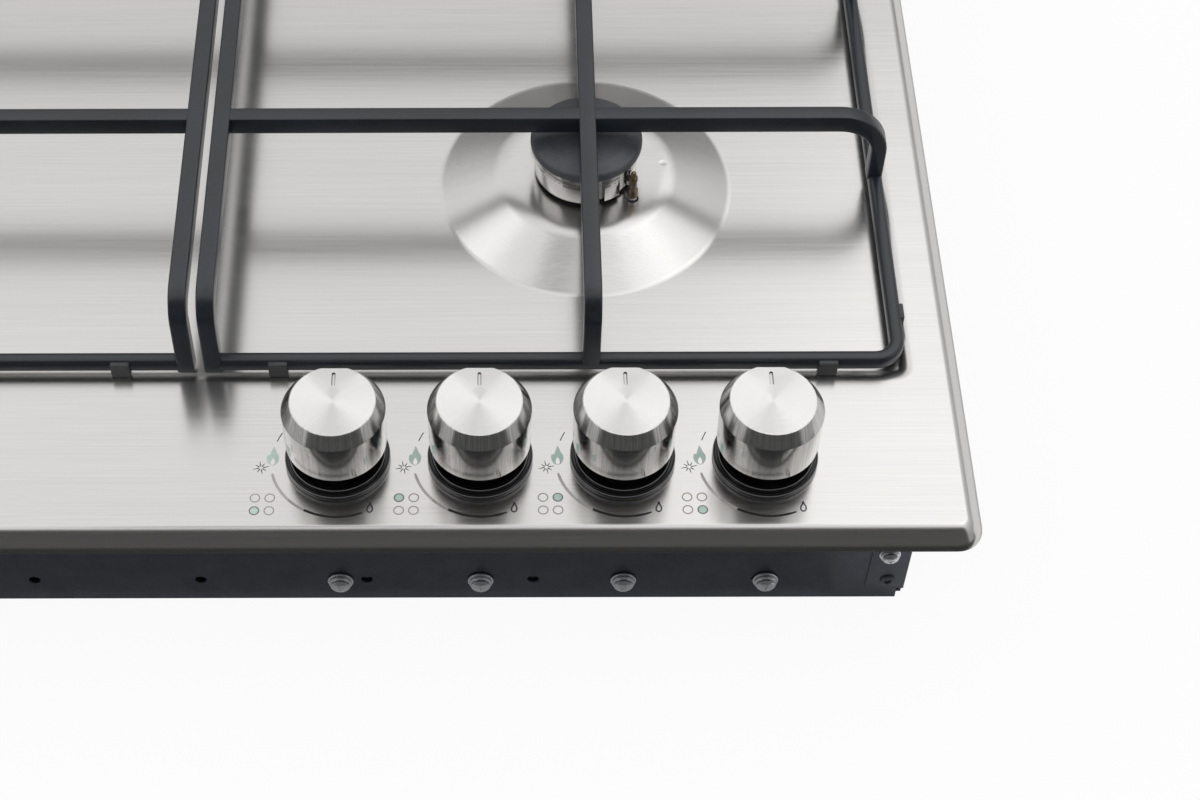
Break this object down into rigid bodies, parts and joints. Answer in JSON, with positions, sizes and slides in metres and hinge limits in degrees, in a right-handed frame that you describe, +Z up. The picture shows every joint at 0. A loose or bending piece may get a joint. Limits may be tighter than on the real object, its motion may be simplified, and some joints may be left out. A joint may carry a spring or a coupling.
{
  "type": "built-in gas cooktop",
  "caption": "Built-in stainless gas cooktop with pan supports, burners, front-right rotary controls and a zinc-coated base pan below the worktop line.",
  "frame": {"origin": "on the underside plane of the base pan, under the middle of the top plate's outline", "axes": "+X right along the front edge, +Y from the front edge to the rear, +Z up out of the worktop"},
  "size_m": [0.58, 0.51, 0.1009],
  "materials": {
    "stainless": "long straight brushing along the front edge, satin",
    "turned_steel": "spun-brushed face, polished bevel and body",
    "galvanised": "dark zinc-coated sheet, matt",
    "black_enamel": "blue-black satin enamel on steel bar",
    "cap_enamel": "satin dark grey enamel with fine sparkle",
    "aluminium": "die-cast and drawn, light satin",
    "brass": "machined",
    "zinc_screw": "bright zinc-plated steel",
    "black_plastic": "satin moulded",
    "white_ceramic": "glazed ceramic, pale",
    "grey_foam": "closed-cell sealing strip"
  },
  "bodies": {
    "hob": {"top_plate": "stainless", "base_pan": "galvanised", "pan_screw_1": "zinc_screw", "pan_screw_2": "zinc_screw", "pan_screw_3": "zinc_screw", "pan_screw_4": "zinc_screw", "gas_manifold": "aluminium", "valve_body_front_left": "brass", "knob_bezel_front_left": "black_plastic", "valve_body_rear_left": "brass", "knob_bezel_rear_left": "black_plastic", "valve_body_rear_right": "brass", "knob_bezel_rear_right": "black_plastic", "valve_body_front_right": "brass", "knob_bezel_front_right": "black_plastic", "burner_cup_front_left": "aluminium", "thermocouple_front_left": "zinc_screw", "spark_electrode_front_left": "white_ceramic", "burner_cup_rear_left": "aluminium", "thermocouple_rear_left": "zinc_screw", "spark_electrode_rear_left": "white_ceramic", "burner_cup_rear_right": "aluminium", "thermocouple_rear_right": "zinc_screw", "spark_electrode_rear_right": "white_ceramic", "burner_cup_front_right": "aluminium", "thermocouple_front_right": "zinc_screw", "spark_electrode_front_right": "white_ceramic", "gas_pipe_front_left": "aluminium", "gas_pipe_rear_left": "aluminium", "gas_pipe_rear_right": "aluminium", "gas_pipe_front_right": "aluminium", "ignition_unit": "black_plastic", "mains_terminal": "black_plastic", "worktop_seal": "grey_foam"},
    "push_front_left": {"valve_pin_front_left": "zinc_screw"},
    "turn_front_left": {"spindle_front_left": "zinc_screw", "knob_front_left": "turned_steel"},
    "crown_front_left": {"burner_crown_front_left": "aluminium"},
    "cap_front_left": {"burner_cap_front_left": "cap_enamel"},
    "push_rear_left": {"valve_pin_rear_left": "zinc_screw"},
    "turn_rear_left": {"spindle_rear_left": "zinc_screw", "knob_rear_left": "turned_steel"},
    "crown_rear_left": {"burner_crown_rear_left": "aluminium"},
    "cap_rear_left": {"burner_cap_rear_left": "cap_enamel"},
    "push_rear_right": {"valve_pin_rear_right": "zinc_screw"},
    "turn_rear_right": {"spindle_rear_right": "zinc_screw", "knob_rear_right": "turned_steel"},
    "crown_rear_right": {"burner_crown_rear_right": "aluminium"},
    "cap_rear_right": {"burner_cap_rear_right": "cap_enamel"},
    "push_front_right": {"valve_pin_front_right": "zinc_screw"},
    "turn_front_right": {"spindle_front_right": "zinc_screw", "knob_front_right": "turned_steel"},
    "crown_front_right": {"burner_crown_front_right": "aluminium"},
    "cap_front_right": {"burner_cap_front_right": "cap_enamel"},
    "grate_right": {"grate_right": "black_enamel"},
    "grate_left": {"grate_left": "black_enamel"},
    "worktop_clamp_front_left": {"worktop_clamp_front_left": "zinc_screw"},
    "worktop_clamp_rear_left": {"worktop_clamp_rear_left": "zinc_screw"},
    "worktop_clamp_front_right": {"worktop_clamp_front_right": "zinc_screw"},
    "worktop_clamp_rear_right": {"worktop_clamp_rear_right": "zinc_screw"}
  },
  "joints": [
    {"name": "push_front_left", "type": "slide", "parent": "hob", "child": "push_front_left", "axis": [0, 0, -1], "range_m": [0, 0.003], "stiffness_N_per_m": 1500, "springref_m": -0.004},
    {"name": "turn_front_left", "type": "hinge", "parent": "push_front_left", "child": "turn_front_left", "pos_m": [0.054, -0.2184, 0.0888], "axis": [0, 0, 1], "range_deg": [0, 210]},
    {"name": "lift_crown_front_left", "type": "slide", "parent": "hob", "child": "crown_front_left", "axis": [0, 0, 1], "range_m": [0, 0.0015]},
    {"name": "lift_cap_front_left", "type": "slide", "parent": "crown_front_left", "child": "cap_front_left", "axis": [0, 0, 1], "range_m": [0, 0.002]},
    {"name": "push_rear_left", "type": "slide", "parent": "hob", "child": "push_rear_left", "axis": [0, 0, -1], "range_m": [0, 0.003], "stiffness_N_per_m": 1500, "springref_m": -0.004},
    {"name": "turn_rear_left", "type": "hinge", "parent": "push_rear_left", "child": "turn_rear_left", "pos_m": [0.1066, -0.2184, 0.0888], "axis": [0, 0, 1], "range_deg": [0, 210]},
    {"name": "lift_crown_rear_left", "type": "slide", "parent": "hob", "child": "crown_rear_left", "axis": [0, 0, 1], "range_m": [0, 0.0015]},
    {"name": "lift_cap_rear_left", "type": "slide", "parent": "crown_rear_left", "child": "cap_rear_left", "axis": [0, 0, 1], "range_m": [0, 0.002]},
    {"name": "push_rear_right", "type": "slide", "parent": "hob", "child": "push_rear_right", "axis": [0, 0, -1], "range_m": [0, 0.003], "stiffness_N_per_m": 1500, "springref_m": -0.004},
    {"name": "turn_rear_right", "type": "hinge", "parent": "push_rear_right", "child": "turn_rear_right", "pos_m": [0.1592, -0.2184, 0.0888], "axis": [0, 0, 1], "range_deg": [0, 210]},
    {"name": "lift_crown_rear_right", "type": "slide", "parent": "hob", "child": "crown_rear_right", "axis": [0, 0, 1], "range_m": [0, 0.0015]},
    {"name": "lift_cap_rear_right", "type": "slide", "parent": "crown_rear_right", "child": "cap_rear_right", "axis": [0, 0, 1], "range_m": [0, 0.002]},
    {"name": "push_front_right", "type": "slide", "parent": "hob", "child": "push_front_right", "axis": [0, 0, -1], "range_m": [0, 0.003], "stiffness_N_per_m": 1500, "springref_m": -0.004},
    {"name": "turn_front_right", "type": "hinge", "parent": "push_front_right", "child": "turn_front_right", "pos_m": [0.2118, -0.2184, 0.0888], "axis": [0, 0, 1], "range_deg": [0, 210]},
    {"name": "lift_crown_front_right", "type": "slide", "parent": "hob", "child": "crown_front_right", "axis": [0, 0, 1], "range_m": [0, 0.0015]},
    {"name": "lift_cap_front_right", "type": "slide", "parent": "crown_front_right", "child": "cap_front_right", "axis": [0, 0, 1], "range_m": [0, 0.002]},
    {"name": "lift_grate_right", "type": "slide", "parent": "hob", "child": "grate_right", "axis": [0, 0, 1], "range_m": [0, 0.06]},
    {"name": "lift_grate_left", "type": "slide", "parent": "hob", "child": "grate_left", "axis": [0, 0, 1], "range_m": [0, 0.06]},
    {"name": "turn_worktop_clamp_front_left", "type": "hinge", "parent": "hob", "child": "worktop_clamp_front_left", "pos_m": [-0.2733, -0.105, 0.015], "axis": [0, 0, 1], "range_deg": [0, 90]},
    {"name": "turn_worktop_clamp_rear_left", "type": "hinge", "parent": "hob", "child": "worktop_clamp_rear_left", "pos_m": [-0.2733, 0.155, 0.015], "axis": [0, 0, 1], "range_deg": [0, 90]},
    {"name": "turn_worktop_clamp_front_right", "type": "hinge", "parent": "hob", "child": "worktop_clamp_front_right", "pos_m": [0.2733, -0.105, 0.015], "axis": [0, 0, -1], "range_deg": [0, 90]},
    {"name": "turn_worktop_clamp_rear_right", "type": "hinge", "parent": "hob", "child": "worktop_clamp_rear_right", "pos_m": [0.2733, 0.155, 0.015], "axis": [0, 0, -1], "range_deg": [0, 90]}
  ]
}
